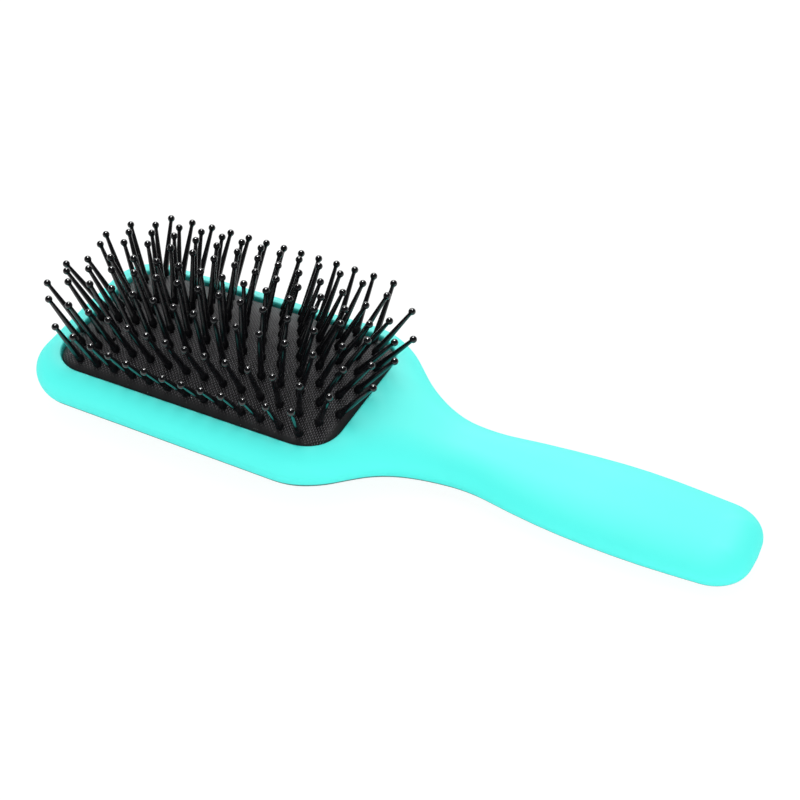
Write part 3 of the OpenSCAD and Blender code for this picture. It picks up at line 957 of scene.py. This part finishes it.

# %% [markdown]
# Rubber is a dull black. The weave is a bump, and also a tone of painted light on the threads and painted
# shade in the pits. Pale specks of dust lie on it here and there: only the highest peaks of a noise are let
# through.

# %% Woven black rubber
# Pits of painted shade and threads of painted light
PIT_SHADE_COLOUR, THREAD_LIGHT_COLOUR = (0.001, 0.001, 0.0012, 1), (0.15, 0.147, 0.16, 1)
# Painted shade for the smooth border beside the lip, and pale dust
BORDER_SHADE_COLOUR, DUST_COLOUR = (0.017, 0.017, 0.018, 1), (0.3, 0.3, 0.3, 1)
WEAVE_TOP, WEAVE_BUMP, WEAVE_DEPTH = 1.7, 0.9, 0.08 * MM
DUST_PEAKS, DUST_COVER = (0.76, 0.8), 0.6
RUBBER_ROUGHNESS, RUBBER_GLOSS = 0.42, 0.6


def woven_rubber():
    material, graph, rubber = new_material("woven_black_rubber")
    where = graph.where()
    share, weave = woven_share(graph, where), weave_pattern(graph, where)
    # The weave's tone: painted shade in the pits, painted light on the threads
    woven = graph.mixed(graph.ranged(weave, 0.0, WEAVE_TOP), PIT_SHADE_COLOUR, THREAD_LIGHT_COLOUR)
    dust = graph.ranged(graph.noise(where, scale=1.1, detail=1.0), *DUST_PEAKS, end=DUST_COVER)
    strength = graph.worked_out("MULTIPLY", share, WEAVE_BUMP)
    bump = graph.node("Bump", {"Strength": strength, "Distance": WEAVE_DEPTH, "Height": weave})
    # The smooth border gets the plain colour of painted shade
    graph.give(rubber["Base Color"], graph.mixed(dust, graph.mixed(share, BORDER_SHADE_COLOUR, woven), DUST_COLOUR))
    graph.give(rubber["Roughness"], RUBBER_ROUGHNESS)
    graph.give(rubber["Specular IOR Level"], RUBBER_GLOSS)
    graph.give(rubber["Normal"], bump.outputs["Normal"])
    return material


pad.data.materials.append(woven_rubber())

# %% [markdown]
# ## The nylon of the pins
# The pins are gloss black nylon, so they show a sharp bright point on each ball. Down at the rubber they
# are duller, from dust and from the mould. A blend by height would need the height along each leaning pin.
# Two plain finishes, chosen face by face from the distance to the nearest foot, do the same.

# %% Gloss nylon, and a duller one near the feet
NYLON_COLOUR = (0.004, 0.004, 0.005, 1)
DULL_REACH = 3.2


def black_nylon(name, smoothest, roughest, gloss):
    material, graph, nylon = new_material(name)
    wear = graph.noise(graph.where(), scale=1.5, detail=2.0)
    graph.give(nylon["Base Color"], NYLON_COLOUR)
    graph.give(nylon["Roughness"], graph.ranged(wear, 0.0, 1.0, smoothest, roughest))
    graph.give(nylon["Specular IOR Level"], gloss)
    return material


nylons = (black_nylon("gloss_black_nylon", 0.04, 0.1, 0.8), black_nylon("dull_black_nylon", 0.35, 0.45, 0.15))
for piece, pins in zip(pin_rows, PINS.values()):
    for nylon in nylons:
        piece.data.materials.append(nylon)
    centres = np.array([face.center for face in piece.data.polygons]) / MM
    feet = np.array([foot for foot, _ in pins])
    reach = np.linalg.norm(centres[:, None] - feet[None], axis=2).min(axis=1)
    piece.data.polygons.foreach_set("material_index", (reach < DULL_REACH).astype(np.int32))
    print(piece.name, "dull faces:", int((reach < DULL_REACH).sum()))

# %% [markdown]
# ## The table
# A product like this is shot on a sheet of white paper. The paper has to look white to the camera and still
# keep the shadow under the brush. More light would burn out the brush as well. So the paper glows a little,
# but only for rays that come straight from the camera, and the light that it throws back on the brush stays
# natural.

# %% White table
TABLE_HALF, PAPER_WHITE, PAPER_ROUGHNESS = 3.0, 0.85, 0.9
GLOW_SHARE, GLOW = 0.8, 1.12
WHITE = (1, 1, 1, 1)


def white_table():
    h = TABLE_HALF
    mesh = bpy.data.meshes.new("white_table")
    mesh.from_pydata([(-h, -h, 0), (h, -h, 0), (h, h, 0), (-h, h, 0)], [], [(0, 1, 2, 3)])
    table = bpy.data.objects.new("white_table", mesh)
    bpy.context.scene.collection.objects.link(table)
    material, graph, paper = new_material("white_paper")
    graph.give(paper["Base Color"], (PAPER_WHITE, PAPER_WHITE, PAPER_WHITE, 1))
    graph.give(paper["Roughness"], PAPER_ROUGHNESS)
    graph.give(paper["Specular IOR Level"], 0.0)
    glow = graph.node("Emission", {"Color": WHITE, "Strength": GLOW}).outputs[0]
    seen = graph.node("LightPath", {}).outputs["Is Camera Ray"]
    share = graph.worked_out("MULTIPLY", seen, GLOW_SHARE)
    plain = graph.nodes["Principled BSDF"].outputs[0]
    mix = graph.node("MixShader", {0: share, 1: plain, 2: glow}).outputs[0]
    graph.give(graph.nodes["Material Output"].inputs["Surface"], mix)
    mesh.materials.append(material)
    return table


table = white_table()
print("table:", 2 * TABLE_HALF, "m across")

# %% [markdown]
# ## The lamps
# Photographers light matte plastic with big soft boxes. A round box hangs over the brush, and a bright wall
# stands behind it and draws the pale edge on the far rim. The brightness of each lamp is given for its
# face, where 1 is white, so a lamp can change its size and keep its look in the gloss.

# %% Softbox overhead and bright wall behind
AIM = Vector((0.06, 0, 0.01))


def soft_lamp(name, place, size, brightness, shape="RECTANGLE"):
    """An area lamp that looks at the middle of the brush. Its face and brightness give its power."""
    data = bpy.data.lights.new(name, "AREA")
    data.shape, data.size, data.size_y = shape, *size
    area = size[0] * size[1] * (math.pi / 4 if shape == "ELLIPSE" else 1)
    data.energy = brightness * area * math.pi
    lamp = bpy.data.objects.new(name, data)
    lamp.location = place
    lamp.rotation_euler = (Vector(place) - AIM).to_track_quat("Z", "Y").to_euler()
    bpy.context.scene.collection.objects.link(lamp)
    print("lamp:", name, round(data.energy, 2), "W")
    return lamp


soft_lamp("overhead_softbox", (-0.05, 0.2, 1.05), (0.6, 0.6), 2.1, "ELLIPSE")
soft_lamp("bright_wall", (-0.5, 1.15, 0.75), (1.9, 1.0), 1.5)

# %% [markdown]
# White cards round the set throw light back on the sides of the body. They are weak lamps here. In the coat
# and the nylon they would show as grey patches, so glossy rays don't see them.

# %% Fills in front and at both ends
FILLS = (("front_fill", (0.5, -1.1, 0.45), (1.8, 0.8), 1.55),
         ("right_fill", (1.3, 0.35, 0.45), (1.0, 0.7), 1.3),
         ("left_fill", (-1.3, -0.2, 0.5), (1.0, 0.7), 1.3))
for name, place, size, brightness in FILLS:
    soft_lamp(name, place, size, brightness).visible_glossy = False

# %% [markdown]
# Two lamps are there for the gloss alone, so diffuse rays don't see them. A tall wall puts a thin pale line
# on the far side of the pins. A small, very bright lamp puts the point of light on each ball. On the rubber
# and the coat that lamp would leave a hot spot, so light linking keeps it to the pins.

# %% Tall wall and catchlight
tall_wall = soft_lamp("tall_wall", (-0.4, 0.9, 0.8), (0.6, 1.1), 2.9)
catchlight = soft_lamp("catchlight", (-0.14, 0.2, 1.05), (0.24, 0.24), 100.0, "ELLIPSE")
for lamp in (tall_wall, catchlight):
    lamp.visible_diffuse = False
lit = bpy.data.collections.new("lit_by_the_catchlight")
for piece in pin_rows:
    lit.objects.link(piece)
catchlight.light_linking.receiver_collection = lit

# %% [markdown]
# ## The room
# A white studio isn't equally white for everything in it. The camera sees pure white behind the table.
# Matte surfaces get a pale dome of light. Black nylon would look grey under such a dome, so glossy rays see
# a dim room, and the lamps stand out in it.

# %% World
DAYLIGHT, DARK_ROOM = 0.61, 0.06


def studio_world():
    world = bpy.data.worlds.new("studio")
    bpy.context.scene.world = world
    graph = Graph(world)
    dome = graph.nodes["Background"]
    graph.give(dome.inputs["Color"], WHITE)
    graph.give(dome.inputs["Strength"], DAYLIGHT)
    room = graph.node("Background", {"Color": WHITE, "Strength": DARK_ROOM})
    white = graph.node("Background", {"Color": WHITE, "Strength": 1.0})
    rays = graph.node("LightPath", {}).outputs
    dome, room, white = (light.outputs[0] for light in (dome, room, white))
    by_gloss = graph.node("MixShader", {0: rays["Is Glossy Ray"], 1: dome, 2: room}).outputs[0]
    by_camera = graph.node("MixShader", {0: rays["Is Camera Ray"], 1: by_gloss, 2: white}).outputs[0]
    graph.give(graph.nodes["World Output"].inputs["Surface"], by_camera)
    return world


print("world:", studio_world().name, "with", DAYLIGHT, "for matte surfaces and", DARK_ROOM, "for gloss")

# %% [markdown]
# ## The camera
# The picture is taken from above the near side, turned towards the handle. The place was solved from the
# outline of the brush in the photograph, and holds three angles and a place in the camera's own directions.
# Aiming a camera at a point would be simpler, but it leaves no room for the roll that the outline asks for.

# %% Camera, solved from the outline of the brush in the photograph
FOCAL_PX, PICTURE_PX, SENSOR = 1604.04, 800, 36.0
ELEVATION, AZIMUTH, ROLL = math.radians(41.58), math.radians(27.59), math.radians(-1.24)
CAMERA_PLACE, FRAME_LIFT = (55.94, -3.79, 533.33), 2.5
NEAREST_SEEN = 0.01


def add_camera():
    back_dir = Vector((math.sin(AZIMUTH) * math.cos(ELEVATION), -math.cos(AZIMUTH) * math.cos(ELEVATION),
                       math.sin(ELEVATION)))
    level = Vector((math.cos(AZIMUTH), math.sin(AZIMUTH), 0))
    upright = back_dir.cross(level)
    right = math.cos(ROLL) * level + math.sin(ROLL) * upright
    up = math.cos(ROLL) * upright - math.sin(ROLL) * level
    data = bpy.data.cameras.new("camera")
    data.sensor_width = SENSOR
    data.lens = FOCAL_PX / PICTURE_PX * data.sensor_width
    data.clip_start = NEAREST_SEEN
    camera = bpy.data.objects.new("camera", data)
    place = sum((axis * share for axis, share in zip((right, up, back_dir), CAMERA_PLACE)),
                Vector((0, 0, FRAME_LIFT))) * MM
    turn = Matrix((right, up, back_dir)).transposed().to_4x4()
    camera.matrix_world = Matrix.Translation(place) @ turn
    bpy.context.scene.collection.objects.link(camera)
    bpy.context.scene.camera = camera
    return camera


camera = add_camera()
bpy.context.scene.view_settings.view_transform = "Standard"
print("camera at", [round(v, 3) for v in camera.location], "lens", round(camera.data.lens, 1), "mm")
